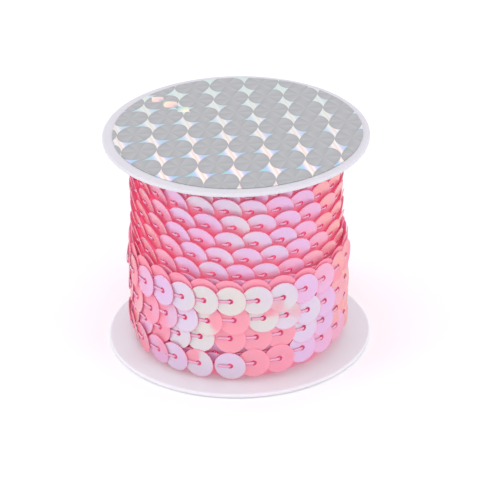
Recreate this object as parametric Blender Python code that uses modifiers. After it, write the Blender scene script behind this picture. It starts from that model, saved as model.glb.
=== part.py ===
"""Sequin trim wound on a flanged plastic spool.

Metres, +Z up. The origin is the centre of the underside, and Z is the spool's axis.
The front is -Y, and angles are counted from it towards +X. The trim is one wound
solid, with its rows of overlapping sequins raised in its outer wall.
"""

import math
from collections import namedtuple

import bmesh
import bpy

# Spool
SPOOL_HEIGHT = 0.0427
FLANGE_RADIUS = 0.0250
FLANGE_THICKNESS = 0.0008
RIM_ROUNDING = 0.00025
CORE_RADIUS = 0.0110
CORE_WALL = 0.0014
GAP = 0.0003

# Foil disc on the top flange, stuck on a little off centre
FOIL_RADIUS = 0.02335
FOIL_THICKNESS = 0.00015
FOIL_OFFSET = (0.0003, 0.0003)

# Sequins
SEQUIN_RADIUS = 0.0030
SEQUINS_PER_TURN = 25
SIDE_LEAN = 0.10
HELIX_LEAN = 0.00045

# Columns of points over one sequin, in halves of the spacing between two sequins
ACROSS = (-0.97, -0.5, 0.0, 0.5, 0.97)

# Facets of the round pieces
FLANGE_STEPS = 72
CORE_STEPS = 40
RIM_STEPS = 3

# The rows of sequins that show, from the bottom to the top. Height is the height of
# their holes and radius the distance of the holes from the axis, both in metres. Lean
# is how fast a sequin's face moves outwards with height, and turn is the angle of one
# hole from the front in degrees. Over says which row's edges lie over those of the row
# above, and rise is 1 or -1 where the helix climbs or drops to the right.
Row = namedtuple("Row", "name height radius lean turn over rise")
ROWS = (
    Row("outer_1", 0.0045, 0.0205, 0.08, -6.5, "this", 1),
    Row("outer_2", 0.0099, 0.0203, -0.05, -5.0, "next", 1),
    Row("outer_3", 0.0140, 0.0205, -0.10, -3.0, "next", 1),
    Row("outer_4", 0.0183, 0.0208, 0.00, -5.3, "this", 1),
    Row("outer_5", 0.0204, 0.0203, 0.10, -4.5, "this", 1),
    Row("inner_6", 0.0228, 0.0193, 0.27, 0.3, "this", -1),
    Row("inner_5", 0.0261, 0.0193, 0.27, 4.2, "this", -1),
    Row("inner_4", 0.0294, 0.0193, 0.27, 9.2, "this", -1),
    Row("inner_3", 0.0327, 0.0193, 0.27, 12.4, "this", -1),
    Row("inner_2", 0.0360, 0.0193, 0.27, 8.0, "this", -1),
    Row("inner_1", 0.0393, 0.0193, 0.27, 8.0, "end", -1),
)

# Places that follow from the sizes
TOP_FLANGE_LOW = SPOOL_HEIGHT - FLANGE_THICKNESS
WINDING_LOW = FLANGE_THICKNESS + GAP
WINDING_HIGH = TOP_FLANGE_LOW - GAP
WINDING_BORE = CORE_RADIUS + GAP
COLUMNS = SEQUINS_PER_TURN * len(ACROSS)
SPACING = math.tau / SEQUINS_PER_TURN


def clear_scene():
    """Remove what the file opens with"""
    for scene_object in list(bpy.data.objects):
        bpy.data.objects.remove(scene_object, do_unlink=True)


def make_collection(name):
    """A collection for the object's parts"""
    collection = bpy.data.collections.new(name)
    bpy.context.scene.collection.children.link(collection)
    return collection


def make_material(name, colour, roughness, metallic=0.0):
    """A plain finish with a linear RGB colour"""
    material = bpy.data.materials.new(name)
    material.use_nodes = True
    shader = material.node_tree.nodes["Principled BSDF"]
    shader.inputs["Base Color"].default_value = (*colour, 1.0)
    shader.inputs["Roughness"].default_value = roughness
    shader.inputs["Metallic"].default_value = metallic
    return material


def make_object(name, mesh, material, collection):
    """Put a finished mesh into the collection"""
    mesh.materials.append(material)
    new_object = bpy.data.objects.new(name, mesh)
    collection.objects.link(new_object)
    return new_object


def round_corner(centre, radius, start_deg, end_deg, steps):
    """Points of an arc in the profile's plane, both ends included"""
    points = []
    for step in range(steps + 1):
        angle = math.radians(start_deg + (end_deg - start_deg) * step / steps)
        points.append((centre[0] + radius * math.cos(angle), centre[1] + radius * math.sin(angle)))
    return points


def flange_profile(low, high):
    """Outer side of a flange from its top to its underside, with a rounded rim"""
    rim = FLANGE_RADIUS - RIM_ROUNDING
    upper = round_corner((rim, high - RIM_ROUNDING), RIM_ROUNDING, 90, 0, RIM_STEPS)
    lower = round_corner((rim, low + RIM_ROUNDING), RIM_ROUNDING, 0, -90, RIM_STEPS)
    return upper + lower


def turned_mesh(name, profile, steps, closed=True):
    """Mesh of a profile of (radius, height) turned about Z by a Screw modifier"""
    mesh = bpy.data.meshes.new(name)
    count = len(profile)
    edges = [(index, index + 1) for index in range(count - 1)]
    if closed:
        edges.append((count - 1, 0))
    mesh.from_pydata([(radius, 0.0, height) for radius, height in profile], edges, [])
    blank = bpy.data.objects.new(name, mesh)
    bpy.context.scene.collection.objects.link(blank)
    screw = blank.modifiers.new("Turn", "SCREW")
    screw.axis = "Z"
    screw.angle = math.tau
    screw.steps = steps
    screw.render_steps = steps
    screw.use_merge_vertices = True
    screw.merge_threshold = 0.00001
    graph = bpy.context.evaluated_depsgraph_get()
    turned = bpy.data.meshes.new_from_object(blank.evaluated_get(graph))
    bpy.data.objects.remove(blank, do_unlink=True)
    bpy.data.meshes.remove(mesh)
    turned.name = name
    return turned


def shade_round(mesh, edge_deg=40):
    """Smooth shading that keeps the hard edges"""
    mesh.shade_smooth()
    mesh.set_sharp_from_angle(angle=math.radians(edge_deg))


def make_core(collection, plastic):
    """Plain tube between the flanges"""
    low = FLANGE_THICKNESS + GAP
    high = TOP_FLANGE_LOW - GAP
    bore = CORE_RADIUS - CORE_WALL
    profile = [(CORE_RADIUS, high), (CORE_RADIUS, low), (bore, low), (bore, high)]
    mesh = turned_mesh("core_tube", profile, CORE_STEPS)
    shade_round(mesh)
    make_object("core_tube", mesh, plastic, collection)


def make_bottom_flange(collection, plastic):
    """Disc that the spool stands on, with the core's bore through it"""
    bore = CORE_RADIUS - CORE_WALL
    profile = flange_profile(0.0, FLANGE_THICKNESS)
    profile += [(bore, 0.0), (bore, FLANGE_THICKNESS)]
    mesh = turned_mesh("bottom_flange", profile, FLANGE_STEPS)
    shade_round(mesh)
    make_object("bottom_flange", mesh, plastic, collection)


def make_disc(name, radius, centre, low, high, rounding, material, collection):
    """Whole disc as a cylinder, its rim rounded where a rounding is given"""
    work = bmesh.new()
    bmesh.ops.create_cone(
        work, cap_ends=True, segments=FLANGE_STEPS, radius1=radius, radius2=radius, depth=high - low
    )
    bmesh.ops.translate(work, verts=work.verts, vec=(*centre, (low + high) / 2))
    if rounding:
        rims = [edge for edge in work.edges if len({vert.co.z for vert in edge.verts}) == 1]
        bmesh.ops.bevel(
            work, geom=rims, offset=rounding, segments=RIM_STEPS, profile=0.5, affect="EDGES"
        )
    mesh = bpy.data.meshes.new(name)
    work.to_mesh(mesh)
    work.free()
    shade_round(mesh)
    make_object(name, mesh, material, collection)


def row_spot(row, column):
    """Angle from the front and distance from the sequin's middle of one column of a row"""
    sequin, step = divmod(column, len(ACROSS))
    sideways = ACROSS[step] * SPACING / 2
    angle = math.radians(row.turn) + sequin * SPACING + sideways
    return angle, sideways * row.radius


def sequin_reach(row, angle):
    """How far the round edges of a row's sequins reach above and below its holes"""
    turn = angle - math.radians(row.turn)
    sideways = (turn - SPACING * round(turn / SPACING)) * row.radius
    return math.sqrt(SEQUIN_RADIUS**2 - sideways**2) * math.cos(math.atan(row.lean))


def hole_height(row, angle):
    """Height of a row's holes, which climb or drop a little round the front"""
    return row.height + row.rise * HELIX_LEAN * math.sin(angle)


def row_levels():
    """Rings of points up the outer wall, as the row that carries each and the edge it follows

    Where two rows meet there are two rings, one on each of them, and both follow the
    round edges of the row that lies over the other. The first and last ring are level.
    """
    levels = [(ROWS[0], None, WINDING_LOW)]
    for lower, upper in zip(ROWS, ROWS[1:]):
        if lower.over == "this":
            edge, side = lower, 1
        else:
            edge, side = upper, -1
        levels.append((lower, edge, side))
        levels.append((upper, edge, side))
    levels.append((ROWS[-1], None, WINDING_HIGH))
    return levels


def wall_point(level, column):
    """Place of one point of the outer wall"""
    row, edge, side = level
    angle, sideways = row_spot(row, column)
    if edge is None:
        height = side
    else:
        height = hole_height(edge, angle) + side * sequin_reach(edge, angle)
    lift = height - hole_height(row, angle)
    lift = max(-SEQUIN_RADIUS, min(SEQUIN_RADIUS, lift))
    radius = row.radius + row.lean * lift + SIDE_LEAN * sideways
    return radius * math.sin(angle), -radius * math.cos(angle), height


def make_winding(collection, film):
    """The wound trim: a turned ring whose outer points are moved onto the sequins' faces"""
    levels = row_levels()
    top = len(levels) - 1
    wall = ROWS[0].radius
    stand_in = [(wall, WINDING_LOW + (WINDING_HIGH - WINDING_LOW) * n / top) for n in range(top + 1)]
    profile = stand_in[::-1] + [(WINDING_BORE, WINDING_LOW), (WINDING_BORE, WINDING_HIGH)]
    mesh = turned_mesh("sequin_winding", profile, COLUMNS)
    for vertex in mesh.vertices:
        if math.hypot(vertex.co.x, vertex.co.y) < (wall + WINDING_BORE) / 2:
            continue
        level = round((vertex.co.z - WINDING_LOW) / (WINDING_HIGH - WINDING_LOW) * top)
        turn = math.atan2(vertex.co.x, -vertex.co.y) % math.tau
        column = round(turn / math.tau * COLUMNS) % COLUMNS
        vertex.co = wall_point(levels[level], column)
    work = bmesh.new()
    work.from_mesh(mesh)
    bmesh.ops.triangulate(work, faces=work.faces, quad_method="SHORT_EDGE")
    work.to_mesh(mesh)
    work.free()
    shade_round(mesh)
    make_object("sequin_winding", mesh, film, collection)


clear_scene()
parts = make_collection("sequin_trim_spool")
white_plastic = make_material("milky_plastic", (0.79, 0.76, 0.82), 0.38)
foil = make_material("silver_foil", (0.52, 0.53, 0.53), 0.25, metallic=0.9)
pink_film = make_material("pink_sequin_film", (0.84, 0.34, 0.50), 0.22)

make_bottom_flange(parts, white_plastic)
make_core(parts, white_plastic)
make_disc(
    "top_flange", FLANGE_RADIUS, (0.0, 0.0), TOP_FLANGE_LOW, SPOOL_HEIGHT, RIM_ROUNDING,
    white_plastic, parts,
)
foil_low = SPOOL_HEIGHT + GAP
make_disc(
    "foil_disc", FOIL_RADIUS, FOIL_OFFSET, foil_low, foil_low + FOIL_THICKNESS, 0.0, foil, parts
)
make_winding(parts, pink_film)
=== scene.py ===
"""Looks of a spool of sequin trim: milky plastic flanges, a foil disc and wound sequins."""

import math
import random

import bpy
from mathutils import Matrix, Vector


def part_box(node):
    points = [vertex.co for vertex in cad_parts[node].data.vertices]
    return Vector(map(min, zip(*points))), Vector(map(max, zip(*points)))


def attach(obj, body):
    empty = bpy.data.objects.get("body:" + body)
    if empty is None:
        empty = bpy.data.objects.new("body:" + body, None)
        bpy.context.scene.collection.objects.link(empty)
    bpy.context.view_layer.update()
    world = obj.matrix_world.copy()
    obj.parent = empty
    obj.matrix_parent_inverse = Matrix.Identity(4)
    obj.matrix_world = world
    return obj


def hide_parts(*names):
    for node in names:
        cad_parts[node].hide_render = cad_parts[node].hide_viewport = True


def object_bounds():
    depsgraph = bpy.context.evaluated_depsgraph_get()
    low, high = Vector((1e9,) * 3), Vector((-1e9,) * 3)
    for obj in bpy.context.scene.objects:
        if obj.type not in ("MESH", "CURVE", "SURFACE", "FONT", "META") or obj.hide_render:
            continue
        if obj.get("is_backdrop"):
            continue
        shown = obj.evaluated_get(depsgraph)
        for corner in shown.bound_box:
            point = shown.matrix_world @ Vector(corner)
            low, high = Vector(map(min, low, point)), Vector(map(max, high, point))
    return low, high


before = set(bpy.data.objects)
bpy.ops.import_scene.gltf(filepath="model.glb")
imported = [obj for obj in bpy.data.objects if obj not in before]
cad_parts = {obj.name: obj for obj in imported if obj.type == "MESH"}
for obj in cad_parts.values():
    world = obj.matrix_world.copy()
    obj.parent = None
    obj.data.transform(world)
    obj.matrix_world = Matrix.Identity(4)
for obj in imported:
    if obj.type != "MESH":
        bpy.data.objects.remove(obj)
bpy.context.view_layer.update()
MM = 0.001

# Spool flanges.
# The real ones are thin moulded discs of milky polypropylene with rounded rims, pressed onto
# the core from both ends. The lower one has the bore through it, and the spool stands on it.
FLANGE_SEGMENTS = 144
FLANGE_ROUNDING = 0.32 * MM


def linear(code):
    """Linear RGB of an sRGB hex colour, with full alpha"""
    values = [int(code[place:place + 2], 16) / 255 for place in (1, 3, 5)]
    return tuple(v / 12.92 if v <= 0.04045 else ((v + 0.055) / 1.055) ** 2.4 for v in values) + (1.0,)


def clear_selection():
    """Leave edit mode and select nothing"""
    if bpy.context.object and bpy.context.object.mode != "OBJECT":
        bpy.ops.object.mode_set(mode="OBJECT")
    bpy.ops.object.select_all(action="DESELECT")


def new_material(name):
    """Empty material, its nodes and its output"""
    made = bpy.data.materials.new(name)
    made.use_nodes = True
    made.node_tree.nodes.clear()
    return made, made.node_tree, made.node_tree.nodes.new("ShaderNodeOutputMaterial")


def node(tree, kind, settings=None, **inputs):
    """Add a node with its settings, and give each input a value or a link from a socket or node"""
    made = tree.nodes.new(kind)
    for key, value in (settings or {}).items():
        setattr(made, key, value)
    for key, value in inputs.items():
        socket = made.inputs[int(key[1:]) if key[0] == "i" and key[1:].isdigit() else key.replace("_", " ")]
        if isinstance(value, bpy.types.Node):
            value = value.outputs[0]
        if isinstance(value, bpy.types.NodeSocket):
            tree.links.new(value, socket)
        else:
            socket.default_value = value
    return made


def finish_piece(piece, name, material, smooth=35):
    """Name a modelled piece, smooth it, give it its material and tie it to the frame"""
    clear_selection()
    piece.select_set(True)
    bpy.context.view_layer.objects.active = piece
    bpy.ops.object.transform_apply(location=True, rotation=True, scale=True)
    bpy.ops.object.shade_smooth_by_angle(angle=math.radians(smooth))
    piece.name = name
    piece.data.name = name
    piece.data.materials.clear()
    piece.data.materials.append(material)
    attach(piece, "root")
    return piece


def apply_modifiers(piece):
    """Apply all modifiers of a piece in order"""
    clear_selection()
    piece.select_set(True)
    bpy.context.view_layer.objects.active = piece
    for modifier in list(piece.modifiers):
        bpy.ops.object.modifier_apply(modifier=modifier.name)


def flange(low, high, radius):
    """Disc with a rounded rim"""
    clear_selection()
    bpy.ops.mesh.primitive_cylinder_add(
        vertices=FLANGE_SEGMENTS, radius=radius, depth=high - low, location=(0, 0, (low + high) / 2)
    )
    disc = bpy.context.object
    bevel = disc.modifiers.new("Rim", "BEVEL")
    bevel.width = FLANGE_ROUNDING
    bevel.segments = 4
    bevel.limit_method = "ANGLE"
    bevel.angle_limit = math.radians(60)
    apply_modifiers(disc)
    return disc


# Milky polypropylene, injection moulded: a soft sheen, a little light let through, and a
# faint cloudiness from the flow of the melt.
plastic, tree, output = new_material("milky_polypropylene")
place = node(tree, "ShaderNodeTexCoord")
cloud = node(tree, "ShaderNodeTexNoise", Vector=place.outputs["Object"], Scale=160.0, Detail=3.0)
tone = node(
    tree, "ShaderNodeMix", {"data_type": "RGBA"}, Factor=cloud.outputs["Fac"],
    i6=linear("#cbc9ce"), i7=linear("#d0ced3"),
)
grain = node(tree, "ShaderNodeTexNoise", Vector=place.outputs["Object"], Scale=2200.0, Detail=2.0)
bump = node(tree, "ShaderNodeBump", Height=grain.outputs["Fac"], Strength=0.12, Distance=0.00004)
shader = node(
    tree, "ShaderNodeBsdfPrincipled", Base_Color=tone.outputs[2], Roughness=0.5, IOR=1.49,
    Normal=bump.outputs["Normal"], Subsurface_Weight=0.35, Subsurface_Radius=(0.9, 0.8, 0.9),
    Subsurface_Scale=0.001,
)
tree.links.new(shader.outputs["BSDF"], output.inputs["Surface"])

low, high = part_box("top_flange")
top_flange = flange(low.z, high.z, high.x)
finish_piece(top_flange, "upper_flange", plastic)
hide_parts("top_flange")

low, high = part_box("bottom_flange")
bottom_flange = flange(low.z, high.z, high.x)
BORE_RADIUS = 9.6 * MM
clear_selection()
bpy.ops.mesh.primitive_cylinder_add(
    vertices=FLANGE_SEGMENTS, radius=BORE_RADIUS, depth=0.02, location=(0, 0, low.z)
)
bore_cutter = bpy.context.object
cut = bottom_flange.modifiers.new("Bore", "BOOLEAN")
cut.operation = "DIFFERENCE"
cut.object = bore_cutter
apply_modifiers(bottom_flange)
bpy.data.objects.remove(bore_cutter)

# The same plastic with a weak glow: painted light that makes the lower flange brighter,
# where the winding and the upper flange shade it.
glow_painted_plastic = plastic.copy()
glow_painted_plastic.name = "milky_polypropylene_painted_glow"
shader = glow_painted_plastic.node_tree.nodes["Principled BSDF"]
shader.inputs["Emission Color"].default_value = linear("#f8f4fa")
shader.inputs["Emission Strength"].default_value = 0.13
finish_piece(bottom_flange, "lower_flange", glow_painted_plastic)
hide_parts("bottom_flange")

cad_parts["core_tube"].data.materials.clear()
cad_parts["core_tube"].data.materials.append(plastic)

# Foil disc.
# A stamped disc of silver film on adhesive, embossed with a diffracting pattern of lenses
# that leaves bright four-pointed stars between them. It lies flat but for one raised crease.
low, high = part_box("foil_disc")
FOIL_CENTRE = (low + high) / 2
FOIL_RADIUS = (high.x - low.x) / 2
FOIL_LIFT = 0.05 * MM
FOIL_THICKNESS = 0.12 * MM
foil_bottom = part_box("top_flange")[1].z + FOIL_LIFT

clear_selection()
bpy.ops.mesh.primitive_circle_add(
    vertices=FLANGE_SEGMENTS, radius=FOIL_RADIUS, fill_type="NGON",
    location=(FOIL_CENTRE.x, FOIL_CENTRE.y, foil_bottom),
)
foil_disc = bpy.context.object
thick = foil_disc.modifiers.new("Film", "SOLIDIFY")
thick.thickness = FOIL_THICKNESS
thick.offset = 1.0
apply_modifiers(foil_disc)

# Metallised film: satin silver grey in faceted lenses, and between them concave four-pointed
# stars whose fine grating splits the light into cream, pink and pale blue.
foil, tree, output = new_material("embossed_silver_film")
place = node(tree, "ShaderNodeTexCoord")
parts = node(tree, "ShaderNodeSeparateXYZ", Vector=place.outputs["Object"])
STAR_SPACING_X = 6.68
STAR_SPACING_Y = 6.9
STAR_REACH = 3.4
LENS_FACETS = 6
FOIL_STEPS = (
    # result, operation, values: numbers in mm, or earlier results
    # a grid of stars that leans a little and widens towards the back
    ("x", "MULTIPLY", "x_metres", 1 / MM),
    ("y", "MULTIPLY", "y_metres", 1 / MM),
    ("bend", "MULTIPLY_ADD", "y", 0.004, 1.0),
    ("y_bent", "MULTIPLY", "y", "bend"),
    ("across", "MULTIPLY_ADD", "y", 0.132, "x"),
    ("along", "MULTIPLY_ADD", "x", -0.1, "y_bent"),
    ("cell_x", "MULTIPLY_ADD", "across", 1 / STAR_SPACING_X, -4.45 / STAR_SPACING_X),
    ("cell_y", "MULTIPLY_ADD", "along", 1 / STAR_SPACING_Y, 1.85 / STAR_SPACING_Y),
    ("index_x", "ROUND", "cell_x"),
    ("index_y", "ROUND", "cell_y"),
    ("part_x", "SUBTRACT", "cell_x", "index_x"),
    ("part_y", "SUBTRACT", "cell_y", "index_y"),
    ("star_x", "MULTIPLY", "part_x", STAR_SPACING_X),
    ("star_y", "MULTIPLY", "part_y", STAR_SPACING_Y),
    ("lean_x", "MULTIPLY_ADD", "star_y", 0.03, "star_x"),
    ("lean_y", "MULTIPLY_ADD", "star_x", -0.08, "star_y"),
    # how far the wings reach: less to the right and to the back
    ("wing_x", "MULTIPLY_ADD", "index_x", -0.36, 2.6),
    ("wing_xy", "MULTIPLY_ADD", "index_y", -0.24, "wing_x"),
    ("wing_least", "MAXIMUM", "wing_xy", 1.7),
    ("wing", "MINIMUM", "wing_least", 3.5),
    # how hollow the sides are: two of the four quarters more than the others
    ("quarter", "MULTIPLY", "lean_x", "lean_y"),
    ("hollow", "GREATER_THAN", "quarter", 0.0),
    ("bow_straight", "MULTIPLY_ADD", "wing", -0.08, 0.98),
    ("bow", "MULTIPLY_ADD", "hollow", -0.3, "bow_straight"),
    ("far_x", "ABSOLUTE", "lean_x"),
    ("far_y", "ABSOLUTE", "lean_y"),
    ("share_x", "DIVIDE", "far_x", "wing"),
    ("share_y", "DIVIDE", "far_y", STAR_REACH),
    ("curve_x", "POWER", "share_x", "bow"),
    ("curve_y", "POWER", "share_y", "bow"),
    ("filled", "ADD", "curve_x", "curve_y"),
    # where the colours run, and painted reflection: how much paler they are towards the back
    ("stripe", "MULTIPLY_ADD", "star_y", 0.12, "lean_x"),
    ("dull", "MULTIPLY_ADD", "y", 0.024, 0.4),
    # painted shade: facets around the middle of each lens, lighter and darker grey by turn
    ("lens_part_x", "FRACT", "cell_x"),
    ("lens_part_y", "FRACT", "cell_y"),
    ("lens_x", "SUBTRACT", "lens_part_x", 0.5),
    ("lens_y", "SUBTRACT", "lens_part_y", 0.5),
    ("angle", "ARCTAN2", "lens_y", "lens_x"),
    ("fan", "MULTIPLY", "angle", LENS_FACETS / math.tau),
    ("facet", "FRACT", "fan"),
)
made = {"x_metres": parts.outputs["X"], "y_metres": parts.outputs["Y"]}
for result, operation, *values in FOIL_STEPS:
    inputs = {f"i{index}": made.get(value, value) for index, value in enumerate(values)}
    made[result] = node(tree, "ShaderNodeMath", {"operation": operation}, **inputs)
star = node(tree, "ShaderNodeMapRange", Value=made["filled"], i1=1.02, i2=0.94)
cell = node(tree, "ShaderNodeCombineXYZ", X=made["index_x"], Y=made["index_y"])
cell_noise = node(tree, "ShaderNodeTexWhiteNoise", {"noise_dimensions": "2D"}, Vector=cell)
stripe = node(
    tree, "ShaderNodeMath", {"operation": "MULTIPLY_ADD"}, i0=cell_noise.outputs["Value"], i1=0.3,
    i2=0.35,
)
stripe = node(
    tree, "ShaderNodeMath", {"operation": "MULTIPLY_ADD"}, i0=made["stripe"], i1=0.3, i2=stripe
)
pastel = node(tree, "ShaderNodeValToRGB", Fac=stripe)
PASTELS = (
    (0.0, "#a4d6dc"), (0.14, "#bccdf2"), (0.27, "#e2dcf0"), (0.4, "#fcf4e0"),
    (0.55, "#f8d4d8"), (0.66, "#fcf6e8"), (0.8, "#d8cdf0"), (1.0, "#a9cdec"),
)
ramp = pastel.color_ramp
while len(ramp.elements) < len(PASTELS):
    ramp.elements.new(0.5)
for element, (spot, colour) in zip(ramp.elements, PASTELS):
    element.position = spot
    element.color = linear(colour)
# Painted reflection: the stars fade to a duller grey mint towards the back.
pale = node(
    tree, "ShaderNodeMix", {"data_type": "RGBA"}, Factor=made["dull"], i6=pastel,
    i7=linear("#cadcd6"),
)
# Painted shade on the lenses: their facets alternate lighter and darker grey, and a darker grey band runs
# round each star.
grey = node(
    tree, "ShaderNodeMix", {"data_type": "RGBA"}, Factor=made["facet"], i6=linear("#a9aaab"),
    i7=linear("#b5b6b7"),
)
star_edge_shade = node(tree, "ShaderNodeMapRange", Value=made["filled"], i1=1.0, i2=1.3, i3=0.5, i4=0.0)
grey = node(
    tree, "ShaderNodeMix", {"data_type": "RGBA"}, Factor=star_edge_shade, i6=grey.outputs[2],
    i7=linear("#9b9d9f"),
)
colour = node(
    tree, "ShaderNodeMix", {"data_type": "RGBA"}, Factor=star, i6=grey.outputs[2],
    i7=pale.outputs[2],
)
shader = node(
    tree, "ShaderNodeBsdfPrincipled", Base_Color=colour.outputs[2], Roughness=0.42, Metallic=0.55,
)
tree.links.new(shader.outputs["BSDF"], output.inputs["Surface"])
finish_piece(foil_disc, "silver_foil_disc", foil)
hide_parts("foil_disc")

# The crease: the film is pinched up in a narrow ridge with three swellings that carry painted glints.
CREASE_FROM = Vector((-16.3, 16.0)) * MM
CREASE_TO = Vector((-8.4, 8.6)) * MM
CREASE_WIDTH = 3.0 * MM
CREASE_HEIGHT = 0.4 * MM
CREASE_SWELLS = 3
CREASE_MEAN = 0.65
CREASE_SWING = 0.35
CREASE_TAPER = 5
run = CREASE_TO - CREASE_FROM
middle = (CREASE_FROM + CREASE_TO) / 2
clear_selection()
bpy.ops.mesh.primitive_grid_add(x_subdivisions=30, y_subdivisions=6, size=1.0)
crease = bpy.context.object
along = crease.data.attributes.new("along", "FLOAT", "POINT")
for index, vertex in enumerate(crease.data.vertices):
    part = vertex.co.x + 0.5
    swell = CREASE_MEAN - CREASE_SWING * math.cos(part * math.tau * CREASE_SWELLS)
    taper = min(1.0, CREASE_TAPER * part, CREASE_TAPER * (1 - part))
    rise = math.cos(vertex.co.y * math.pi) * swell * taper
    along.data[index].value = part
    vertex.co = (
        vertex.co.x * run.length, vertex.co.y * CREASE_WIDTH * swell * taper,
        rise * CREASE_HEIGHT,
    )
crease.rotation_euler.z = math.atan2(run.y, run.x)
crease.location = (middle.x, middle.y, foil_bottom + FOIL_THICKNESS)
thick = crease.modifiers.new("Film", "SOLIDIFY")
thick.thickness = FOIL_THICKNESS / 2
thick.offset = -1.0
apply_modifiers(crease)

# The same film where it is stretched over the ridge, with painted glints along it: cream and
# pink on the swellings and teal between them, as its grating flashes.
flash, tree, output = new_material("creased_silver_film")
along = node(tree, "ShaderNodeAttribute", {"attribute_name": "along"})
glint = node(tree, "ShaderNodeValToRGB", Fac=along.outputs["Fac"])
FLASHES = (
    (0.0, "#a8bcbd"), (0.08, "#f3e3cf"), (0.24, "#f2cfcd"), (0.34, "#94a9ac"),
    (0.44, "#f5e6c8"), (0.58, "#f3ccca"), (0.68, "#8fa8a8"), (0.78, "#bcd8d4"),
    (0.9, "#f4edcf"), (1.0, "#c9cfcf"),
)
ramp = glint.color_ramp
while len(ramp.elements) < len(FLASHES):
    ramp.elements.new(0.5)
for element, (spot, colour) in zip(ramp.elements, FLASHES):
    element.position = spot
    element.color = linear(colour)
shader = node(tree, "ShaderNodeBsdfPrincipled", Base_Color=glint, Roughness=0.35, Metallic=0.4)
tree.links.new(shader.outputs["BSDF"], output.inputs["Surface"])
finish_piece(crease, "foil_crease", flash)

# Sequins.
# Flat 6 mm discs stamped from pink film with a pearly interference coat, with a 1.1 mm hole.
# They are strung on one thread so that each lies over its right-hand neighbour.
SEQUIN_RADIUS = 3.0 * MM
SEQUIN_HOLE = 0.55 * MM
SEQUIN_FILM = 0.13 * MM
SEQUIN_SEGMENTS = 20
random.seed(7)

clear_selection()
bpy.ops.mesh.primitive_circle_add(vertices=SEQUIN_SEGMENTS, radius=SEQUIN_RADIUS, fill_type="NGON")
sequin = bpy.context.object
bpy.ops.object.mode_set(mode="EDIT")
bpy.ops.mesh.select_mode(type="FACE")
bpy.ops.mesh.select_all(action="SELECT")
bpy.ops.mesh.inset(thickness=SEQUIN_RADIUS - SEQUIN_HOLE, depth=0.0)
bpy.ops.mesh.delete(type="FACE")
bpy.ops.object.mode_set(mode="OBJECT")
thick = sequin.modifiers.new("Film", "SOLIDIFY")
thick.thickness = SEQUIN_FILM
thick.offset = 0.0
apply_modifiers(sequin)
SPOTS = [(vertex.co.x / SEQUIN_RADIUS, vertex.co.y / SEQUIN_RADIUS) for vertex in sequin.data.vertices]
# Attributes: distance from the middle, tone, and the painted sheen, which says where the coat shows a
# painted highlight or reflection over the salmon film.
for name, values in (("radius", [math.hypot(*spot) for spot in SPOTS]), ("tone", None), ("painted_sheen", None)):
    layer = sequin.data.attributes.new(name, "FLOAT", "POINT")
    if values:
        layer.data.foreach_set("value", values)
bpy.ops.object.shade_smooth_by_angle(angle=math.radians(40))

# Thread.
# One clear pink monofilament comes up through each hole, lies over the film to the left and
# goes under the rim of the next sequin, and makes a small loop round the hole.
THREAD_RADIUS = 0.15 * MM
THREAD_WIDENING = 1.7
LOOP_RADIUS = 0.48 * MM
LOOP_THREAD_RADIUS = 0.13 * MM
LOOP_LIFT = 0.06 * MM
STITCH_FOOT = 0.5 * MM
STITCH_START = 0.05 * MM
SHORT_BENDS = (
    # how far each stretch goes along x and z in mm, and how far the thread turns after it
    (-0.12, 0.16, 45),
    (-0.26, 0.06, 45),
    (-0.40, 0.00, 0),
    (-0.35, -0.07, -20),
    (-0.30, -0.16, 0),
)
LONG_BENDS = (
    # the same for the stitches of the last layer
    (-0.12, 0.16, 45),
    (-0.26, 0.06, 45),
    (-0.80, 0.00, 0),
    (-0.85, -0.02, 0),
    (-0.30, -0.16, 0),
)


def make_stitch(bends):
    """Loop round a hole and the stretch of thread that leaves it"""
    clear_selection()
    bpy.ops.mesh.primitive_torus_add(
        major_segments=8, minor_segments=4, major_radius=LOOP_RADIUS,
        minor_radius=LOOP_THREAD_RADIUS, location=(0, 0, LOOP_LIFT),
    )
    loop = bpy.context.object
    shade = loop.data.attributes.new("loop", "FLOAT", "POINT")
    shade.data.foreach_set("value", [1.0] * len(loop.data.vertices))
    bpy.ops.mesh.primitive_cylinder_add(
        vertices=5, radius=THREAD_RADIUS, depth=STITCH_FOOT, end_fill_type="NGON",
        location=(0, 0, STITCH_START - STITCH_FOOT / 2), scale=(1, THREAD_WIDENING, 1),
    )
    bar = bpy.context.object
    bpy.ops.object.transform_apply(location=True, rotation=True, scale=True)
    bpy.ops.object.mode_set(mode="EDIT")
    bpy.ops.mesh.select_mode(type="FACE")
    bpy.ops.mesh.select_all(action="DESELECT")
    bpy.ops.object.mode_set(mode="OBJECT")
    for face in bar.data.polygons:
        face.select = face.normal.z > 0.9
    bpy.ops.object.mode_set(mode="EDIT")
    end = Vector((0, 0, STITCH_START))
    for across, up, turn in bends:
        move = Vector((across, 0, up)) * MM
        bpy.ops.mesh.extrude_region_move(TRANSFORM_OT_translate={"value": move})
        end = end + move
        bpy.ops.transform.rotate(
            value=math.radians(turn), orient_axis="Y", center_override=tuple(end)
        )
    bpy.ops.object.mode_set(mode="OBJECT")
    clear_selection()
    bar.select_set(True)
    loop.select_set(True)
    bpy.context.view_layer.objects.active = loop
    bpy.ops.object.join()
    bpy.ops.object.transform_apply(location=True, rotation=True, scale=True)
    bpy.ops.object.shade_smooth_by_angle(angle=math.radians(80))
    return loop


short_stitch = make_stitch(SHORT_BENDS)
long_stitch = make_stitch(LONG_BENDS)
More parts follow.
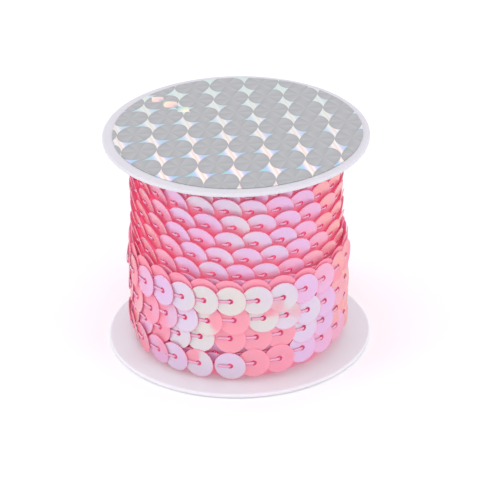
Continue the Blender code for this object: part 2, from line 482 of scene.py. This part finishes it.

# Pink polyester film with a pearly interference coat: mint seen head on, lilac at a slant and
# pink at a grazing angle. Where the coat catches the light is painted: a per-vertex sheen
# mixes the coat's colour over the salmon film as painted highlight and reflection. Half of
# the light goes through the film, and a weak glow stands for what scatters between the discs.
film, tree, output = new_material("pearl_coated_pink_film")
tone = node(tree, "ShaderNodeAttribute", {"attribute_name": "tone"})
reach = node(tree, "ShaderNodeAttribute", {"attribute_name": "radius"})
lit = node(tree, "ShaderNodeAttribute", {"attribute_name": "painted_sheen"})
slant = node(tree, "ShaderNodeLayerWeight", Blend=0.5)
slant_toned = node(
    tree, "ShaderNodeMath", {"operation": "ADD"}, i0=slant.outputs["Facing"], i1=tone.outputs["Fac"]
)
coat_colour = node(tree, "ShaderNodeValToRGB", Fac=slant_toned)
COAT_COLOURS = (
    (0.06, "#d8e4da"), (0.17, "#d2e2e0"), (0.25, "#d6daee"), (0.35, "#d9c8ef"),
    (0.46, "#e4bfe6"), (0.58, "#eeb6cc"), (0.76, "#f6b0a4"),
)
ramp = coat_colour.color_ramp
while len(ramp.elements) < len(COAT_COLOURS):
    ramp.elements.new(0.5)
for element, (stop, colour) in zip(ramp.elements, COAT_COLOURS):
    element.position = stop
    element.color = linear(colour)
RINGS = 9
turns = node(
    tree, "ShaderNodeMath", {"operation": "MULTIPLY"}, i0=reach.outputs["Fac"], i1=RINGS * math.tau
)
rings = node(tree, "ShaderNodeMath", {"operation": "SINE"}, i0=turns)
bump = node(tree, "ShaderNodeBump", Height=rings, Strength=0.25, Distance=0.00001)
# Painted sheen: the per-vertex value, eased, sets how much of the coat's colour and gloss is painted over
# the salmon film as highlight and reflection; it is held down at the rim, which stays salmon.
within = node(tree, "ShaderNodeMapRange", Value=reach.outputs["Fac"], i1=0.93, i2=1.0, i3=0.84, i4=0.2)
painted_sheen = node(
    tree, "ShaderNodeMapRange", {"interpolation_type": "SMOOTHSTEP"},
    Value=lit.outputs["Fac"], i1=-0.4, i2=0.6, i3=0.08, i4=within,
)
colour = node(
    tree, "ShaderNodeMix", {"data_type": "RGBA"}, Factor=painted_sheen,
    i6=linear("#f0b0be"), i7=coat_colour,
)
share = node(tree, "ShaderNodeMath", {"operation": "MULTIPLY"}, i0=painted_sheen, i1=0.6)
base = node(
    tree, "ShaderNodeBsdfPrincipled", Base_Color=colour.outputs[2], Roughness=0.3, IOR=1.57,
    Normal=bump, Emission_Color=linear("#ff76a2"), Emission_Strength=0.17,
)
through = node(tree, "ShaderNodeBsdfTranslucent", Color=linear("#fac2d4"))
body = node(tree, "ShaderNodeMixShader", Fac=0.5, i1=base, i2=through)
coat = node(
    tree, "ShaderNodeBsdfPrincipled", Base_Color=coat_colour, Roughness=0.25,
    Metallic=0.4, IOR=1.9, Normal=bump,
)
mix = node(tree, "ShaderNodeMixShader", Fac=share, i1=body, i2=coat)
tree.links.new(mix.outputs["Shader"], output.inputs["Surface"])

# Clear pink polyamide thread: glossy and pale where it lies straight on the bright film. The loop
# round the hole is painted deep pink, a painted shade for the loop and the hole beneath it.
thread, tree, output = new_material("clear_pink_thread")
loop = node(tree, "ShaderNodeAttribute", {"attribute_name": "loop"})
colour = node(
    tree, "ShaderNodeMix", {"data_type": "RGBA"}, Factor=loop.outputs["Fac"],
    i6=linear("#dc9ab8"), i7=linear("#d84874"),
)
shader = node(
    tree, "ShaderNodeBsdfPrincipled", Base_Color=colour.outputs[2], Roughness=0.18, IOR=1.53,
)
tree.links.new(shader.outputs["BSDF"], output.inputs["Surface"])


def sequin_place(angle, height, radius, lean, side):
    """Where one sequin stands on the wound wall, its top leaning out by lean and its right by side"""
    out = Vector((math.sin(angle), -math.cos(angle), 0))
    right = Vector((math.cos(angle), math.sin(angle), 0))
    turn = Matrix((right, (0, 0, 1), out)).transposed().to_4x4()
    place = Matrix.Translation(out * radius + Vector((0, 0, height)))
    return place @ turn @ Matrix.Rotation(-side, 4, "Y") @ Matrix.Rotation(lean, 4, "X")


def string_up(name, master, places, material):
    """Copies of a master at a list of places, each with its own mesh, joined into one piece"""
    clear_selection()
    for matrix, tones, painted_sheens in places:
        copy = bpy.data.objects.new(name, master.data.copy())
        bpy.context.scene.collection.objects.link(copy)
        copy.data.transform(matrix)
        if "tone" in copy.data.attributes:
            copy.data.attributes["tone"].data.foreach_set("value", tones)
            copy.data.attributes["painted_sheen"].data.foreach_set("value", painted_sheens)
        copy.select_set(True)
        bpy.context.view_layer.objects.active = copy
    bpy.ops.object.join()
    joined = bpy.context.object
    joined.name = name
    joined.data.name = name
    joined.data.materials.clear()
    joined.data.materials.append(material)
    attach(joined, "root")
    return joined


def tones_of(angle):
    """Tone at each vertex of a sequin: warmer to the right of the spool as painted reflection, and a little
    at random
    """
    base = random.uniform(-0.07, 0.07) + 0.1 * math.sin(angle)
    way = random.uniform(0, math.tau)
    return [base + 0.05 * (x * math.cos(way) + y * math.sin(way)) for x, y in SPOTS]


def between(table, turn, column):
    """Value of a table's column at a turn, on straight lines from row to row"""
    for low_row, high_row in zip(table, table[1:]):
        if turn <= high_row[0]:
            break
    share = (turn - low_row[0]) / (high_row[0] - low_row[0])
    share = max(0.0, min(1.0, share))
    return low_row[column] + (high_row[column] - low_row[column]) * share


# Inner layer of the winding.
# The strung film sequins run down the spool in an even helix, each row leaning out over the
# row above it, and the pull of the thread holds them on the turns below.
INNER_TURNS = (
    # number of the sequin nearest the front, its angle, height of its hole in mm
    (-25, 0.0, 42.7),
    (0, 8.0, 39.4),
    (25, 8.0, 36.0),
    (50, 12.4, 32.7),
    (74, 9.2, 29.4),
    (98, 4.2, 26.2),
    (122, 0.3, 22.8),
    (147, 0.3, 19.5),
)
INNER_END = (
    # number, whole angle from the front and height where the helix ends, and where the trim
    # does after three quarters of a level turn on the lower flange
    (264, 3845.1, 4.05),
    (283, 4118.7, 4.05),
)
INNER_RADIUS = 19.3 * MM
INNER_LEAN = math.radians(16)
INNER_SIDE = math.radians(5)
HIGHEST_HOLE = 38.9 * MM
# spread from sequin to sequin: angle, height, lean and side
INNER_WOBBLE = (0.006, 0.08 * MM, math.radians(1.2), math.radians(1.0))
# Painted sheen on the inner sequins: its level and spread, and how it rises to the right and upwards, which
# leaves the lower part salmon as painted reflection of the row below.
INNER_SHEEN_LEVEL = 0.1
INNER_SHEEN_SPREAD = 0.05
INNER_SHEEN_ACROSS = 0.35
INNER_SHEEN_UP = 0.8
inner_rows = [(row[0], turn * 360 + row[1], row[2]) for turn, row in enumerate(INNER_TURNS, -1)]
inner_rows += INNER_END
inner_places = []
for number in range(-19, 284):
    angle = math.radians(between(inner_rows, number, 1))
    height = between(inner_rows, number, 2) * MM
    wobble = [random.gauss(0, 1) for _ in range(4)]
    round_off, up_off, lean_off, side_off = (
        spread * value for spread, value in zip(INNER_WOBBLE, wobble)
    )
    place = sequin_place(
        angle + round_off, min(height + up_off, HIGHEST_HOLE), INNER_RADIUS,
        INNER_LEAN + lean_off, INNER_SIDE + side_off,
    )
    level = INNER_SHEEN_LEVEL + INNER_SHEEN_SPREAD * wobble[0]
    painted_sheens = [level + INNER_SHEEN_ACROSS * x + INNER_SHEEN_UP * y for x, y in SPOTS]
    inner_places.append((place, tones_of(angle), painted_sheens))

# Last layer of the winding.
# The same trim climbs back over the lower half in steeper turns, nearly flat against the layer
# below, and is held by its own pull.
OUTER_LINE = (
    # number of the sequin, its angle, height of its hole and radius in mm, outward lean
    (-11, -162.0, 4.4, 20.5, 7),
    (-3, -48.0, 4.6, 20.6, 7),
    (-2, -36.3, 4.4, 20.6, 6),
    (-1, -22.2, 4.4, 20.5, 4),
    (0, -5.4, 4.4, 20.5, 3),
    (1, 6.9, 4.8, 20.5, 3),
    (2, 21.1, 5.1, 20.5, 2),
    (3, 34.8, 5.8, 20.4, 0),
    (4, 48.7, 6.2, 20.4, -3),
    (13, 175.0, 7.9, 20.3, -4),
    (22, 300.0, 9.1, 20.3, -4),
    (23, 312.8, 9.3, 20.3, -4),
    (25, 338.9, 9.9, 20.3, -4),
    (26, 354.9, 10.25, 20.3, -4),
    (28, 382.2, 10.3, 20.3, -4),
    (30, 409.7, 9.8, 20.3, -4),
    (38, 525.0, 11.0, 20.4, -5),
    (48, 666.1, 12.5, 20.5, -5),
    (50, 690.4, 13.6, 20.5, -5),
    (51, 703.2, 13.7, 20.5, -5),
    (52, 717.0, 14.2, 20.5, -5),
    (53, 732.5, 14.3, 20.5, -5),
    (54, 744.9, 14.0, 20.5, -5),
    (55, 758.5, 13.6, 20.5, -5),
    (56, 770.9, 13.6, 20.5, -5),
    (64, 882.0, 15.4, 20.6, -4),
    (75, 1037.0, 17.9, 20.8, -2),
    (77, 1061.7, 18.2, 20.8, -1),
    (80, 1103.2, 18.2, 20.8, -1),
    (82, 1129.1, 18.9, 20.8, -1),
    (90, 1240.0, 19.4, 20.6, 3),
    (99, 1367.0, 19.6, 20.2, 8),
    (104, 1434.5, 19.6, 20.1, 8),
    (115, 1590.0, 19.8, 20.1, 8),
)
OUTER_SIDE = math.radians(4)
# spread from sequin to sequin: angle in degrees, height in mm, lean and side in degrees
OUTER_WOBBLE = (0.2, 0.06, 1.5, 1.2)
PATCHES_PAINTED_DULL = (
    # angle and height in mm of the middle of a patch painted dull, without sheen, its half width in degrees
    # and mm
    (-180, 12.0, 60, 9.0),
    (0, 20.0, 400, 1.4),
)
GLINTS = {
    # number of the sequin: its painted shine, and the size and the side in degrees of a brighter wedge
    -1: (1.0, 1.6, -45), 0: (2.0, 0.3, 0), 1: (-1.5, 0.0, 0), 2: (-2.0, 0.0, 0), 3: (2.0, 0.0, 0),
    4: (1.5, 0.5, 60), 23: (-1.2, 0.5, 90), 24: (1.5, 0.3, 0), 25: (1.6, 0.4, 180), 26: (-2.0, 0, 0),
    27: (-2.0, 0, 0), 28: (-2.0, 0, 0), 29: (1.8, 0, 0), 30: (0.9, 0.4, 0), 48: (-0.4, 0.4, 0),
    49: (-0.2, 0.4, 0), 50: (2.0, 0, 0), 51: (0.7, 1.3, 190), 52: (-1.1, 0.6, 160),
    53: (1.0, 1.4, -120), 54: (1.1, 1.1, 190), 55: (2.0, 0, 0), 56: (0.7, 0.4, 0),
    75: (0.8, 0.4, 0), 76: (1.6, 0.3, 0), 77: (2.0, 0, 0), 78: (2.0, 0, 0), 79: (2.0, 0.3, 0),
    80: (1.0, 1.1, 60), 81: (2.0, 0, 0), 82: (0.6, 0.5, 0),
}
# Painted highlight on the last layer: the usual shine and its spread, the shine lost in the patches and
# away from the brightest side, and the usual brighter wedge.
USUAL_SHINE = 1.3
SHINE_SPREAD = 0.4
SHINE_LOST_IN_PATCH = 5.0
SHINE_LOST_BEHIND = 0.8
BRIGHTEST_SIDE = 25
USUAL_WEDGE = 0.7
outer_places = []
for number in range(-11, 116):
    degrees, height, radius, lean = (between(OUTER_LINE, number, column) for column in (1, 2, 3, 4))
    wobble = [random.gauss(0, 1) for _ in range(4)]
    round_off, up_off, lean_off, side_off = (
        spread * value for spread, value in zip(OUTER_WOBBLE, wobble)
    )
    place = sequin_place(
        math.radians(degrees + round_off), (height + up_off) * MM, radius * MM,
        math.radians(lean + lean_off), OUTER_SIDE + math.radians(side_off),
    )
    dull = 0.0
    for middle, level, wide, high in PATCHES_PAINTED_DULL:
        turned = (degrees - middle + 180) % 360 - 180
        dull = max(dull, 1.0 - math.hypot(turned / wide, (height - level) / high))
    way = random.uniform(0, math.tau)
    behind = 1 - math.cos(math.radians(degrees - BRIGHTEST_SIDE))
    shine = USUAL_SHINE + SHINE_SPREAD * wobble[0] - SHINE_LOST_IN_PATCH * dull
    shine -= SHINE_LOST_BEHIND * behind
    shine, wedge, side = GLINTS.get(number, (shine, USUAL_WEDGE, math.degrees(way)))
    aim = math.radians(side)
    painted_sheens = [
        shine + wedge * (x * math.cos(aim) + y * math.sin(aim)) / math.hypot(x, y) for x, y in SPOTS
    ]
    outer_places.append((place, tones_of(math.radians(degrees)), painted_sheens))

PER_PIECE = 110
for layer, places, stitch in (
    ("inner", inner_places, short_stitch), ("outer", outer_places, long_stitch)
):
    for start in range(0, len(places), PER_PIECE):
        batch = places[start:start + PER_PIECE]
        number = start // PER_PIECE + 1
        string_up(f"{layer}_sequins_{number}", sequin, batch, film)
        string_up(f"{layer}_stitches_{number}", stitch, batch, thread)
for master in (sequin, short_stitch, long_stitch):
    bpy.data.objects.remove(master)
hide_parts("sequin_winding")

# Packed turns.
# The earlier turns of film sequins fill the spool between the core and the layers that show.
# Their rows lie in one ridge after another, and the wound layers over them hold them in place.
PACKED_RADIUS = 17.0 * MM
ROW_PITCH = 3.3 * MM
RIDGE_RADIUS = 1.75 * MM
FOOT_ROOM = 0.9 * MM
low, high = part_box("sequin_winding")
clear_selection()
bpy.ops.mesh.primitive_torus_add(
    major_segments=72, minor_segments=10, major_radius=PACKED_RADIUS, minor_radius=RIDGE_RADIUS,
    location=(0, 0, low.z + FOOT_ROOM + RIDGE_RADIUS),
)
packed = bpy.context.object
rows = packed.modifiers.new("Rows", "ARRAY")
rows.count = int((high.z - low.z - FOOT_ROOM - 2 * RIDGE_RADIUS) / ROW_PITCH) + 1
rows.use_relative_offset = False
rows.use_constant_offset = True
rows.constant_offset_displace = (0, 0, ROW_PITCH)
apply_modifiers(packed)

# Sequin film in a thick stack, seen only through gaps: deep pink, with a weak painted glow
# that stands for the light scattered between its layers.
packed_pink, tree, output = new_material("stacked_pink_film")
shader = node(
    tree, "ShaderNodeBsdfPrincipled", Base_Color=linear("#ffa0c0"), Roughness=0.5, IOR=1.5,
    Emission_Color=linear("#ff76a2"), Emission_Strength=0.28,
)
tree.links.new(shader.outputs["BSDF"], output.inputs["Surface"])
finish_piece(packed, "packed_turns", packed_pink, smooth=80)

# Floor, light and camera.
# White paper in a bright tent, with soft lights above, in front and at both sides.
clear_selection()
bpy.ops.mesh.primitive_plane_add(size=4.0, location=(0, 0, -0.0002))
floor = bpy.context.object
floor.name = "floor"
paper, tree, output = new_material("white_paper")
shader = node(tree, "ShaderNodeBsdfPrincipled", Base_Color=linear("#fbfbfb"), Roughness=0.8)
tree.links.new(shader.outputs["BSDF"], output.inputs["Surface"])
floor.data.materials.append(paper)
floor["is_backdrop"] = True


def soft_light(name, place, aim, size, power):
    """Square area light aimed at a point"""
    lamp = bpy.data.lights.new(name, "AREA")
    lamp.size = size
    lamp.energy = power
    light = bpy.data.objects.new(name, lamp)
    bpy.context.scene.collection.objects.link(light)
    light.location = place
    light.rotation_euler = (Vector(aim) - Vector(place)).to_track_quat("-Z", "Y").to_euler()


soft_light("top_light", (0.05, 0.05, 0.9), (0, 0, 0), 0.7, 0.4)
MIDDLE = (0, 0, 0.02)
soft_light("front_light", (0.1, -0.9, 0.55), MIDDLE, 0.6, 1.2)
soft_light("left_light", (-0.85, -0.2, 0.4), MIDDLE, 0.5, 1.8)
soft_light("right_light", (0.7, -0.45, 0.5), MIDDLE, 0.4, 1.2)

world = bpy.data.worlds.new("studio")
bpy.context.scene.world = world
world.use_nodes = True
tree = world.node_tree
LIGHT_LOW = 1.2
LIGHT_OVERHEAD = 0.92
around = node(tree, "ShaderNodeTexCoord")
direction = node(tree, "ShaderNodeSeparateXYZ", Vector=around.outputs["Generated"])
sky = node(
    tree, "ShaderNodeMapRange", Value=direction.outputs["Z"], i1=0.0, i2=1.0, i3=LIGHT_LOW,
    i4=LIGHT_OVERHEAD,
)
background = tree.nodes["Background"]
background.inputs["Color"].default_value = linear("#fbfaff")
tree.links.new(sky.outputs[0], background.inputs["Strength"])
bpy.context.scene.view_settings.view_transform = "Standard"

CAMERA_DISTANCE = 612.8 * MM
CAMERA_ELEVATION = math.radians(27.946)
CAMERA_ROLL = math.radians(1.06)
FOCAL_PIXELS = 3234.2
IMAGE_PIXELS = 500
SPOOL_CENTRE = Vector((0, 0, 21.366 * MM))
CENTRE_PIXEL = (237.86, 233.76)
SENSOR = 36.0
back = Vector((0, -math.cos(CAMERA_ELEVATION), math.sin(CAMERA_ELEVATION)))
camera_data = bpy.data.cameras.new("camera")
camera_data.sensor_width = SENSOR
camera_data.lens = FOCAL_PIXELS / IMAGE_PIXELS * SENSOR
camera = bpy.data.objects.new("camera", camera_data)
bpy.context.scene.collection.objects.link(camera)
aim_right = (IMAGE_PIXELS / 2 - CENTRE_PIXEL[0]) / FOCAL_PIXELS
aim_down = (IMAGE_PIXELS / 2 - CENTRE_PIXEL[1]) / FOCAL_PIXELS
level = (-back).to_track_quat("-Z", "Y").to_matrix().to_4x4()
turn = Matrix.Rotation(-CAMERA_ROLL, 4, "Z")
aim = Matrix.Rotation(-math.atan(aim_right), 4, "Y") @ Matrix.Rotation(-math.atan(aim_down), 4, "X")
camera.matrix_world = Matrix.Translation(SPOOL_CENTRE + back * CAMERA_DISTANCE) @ level @ turn @ aim
bpy.context.scene.camera = camera

low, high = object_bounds()
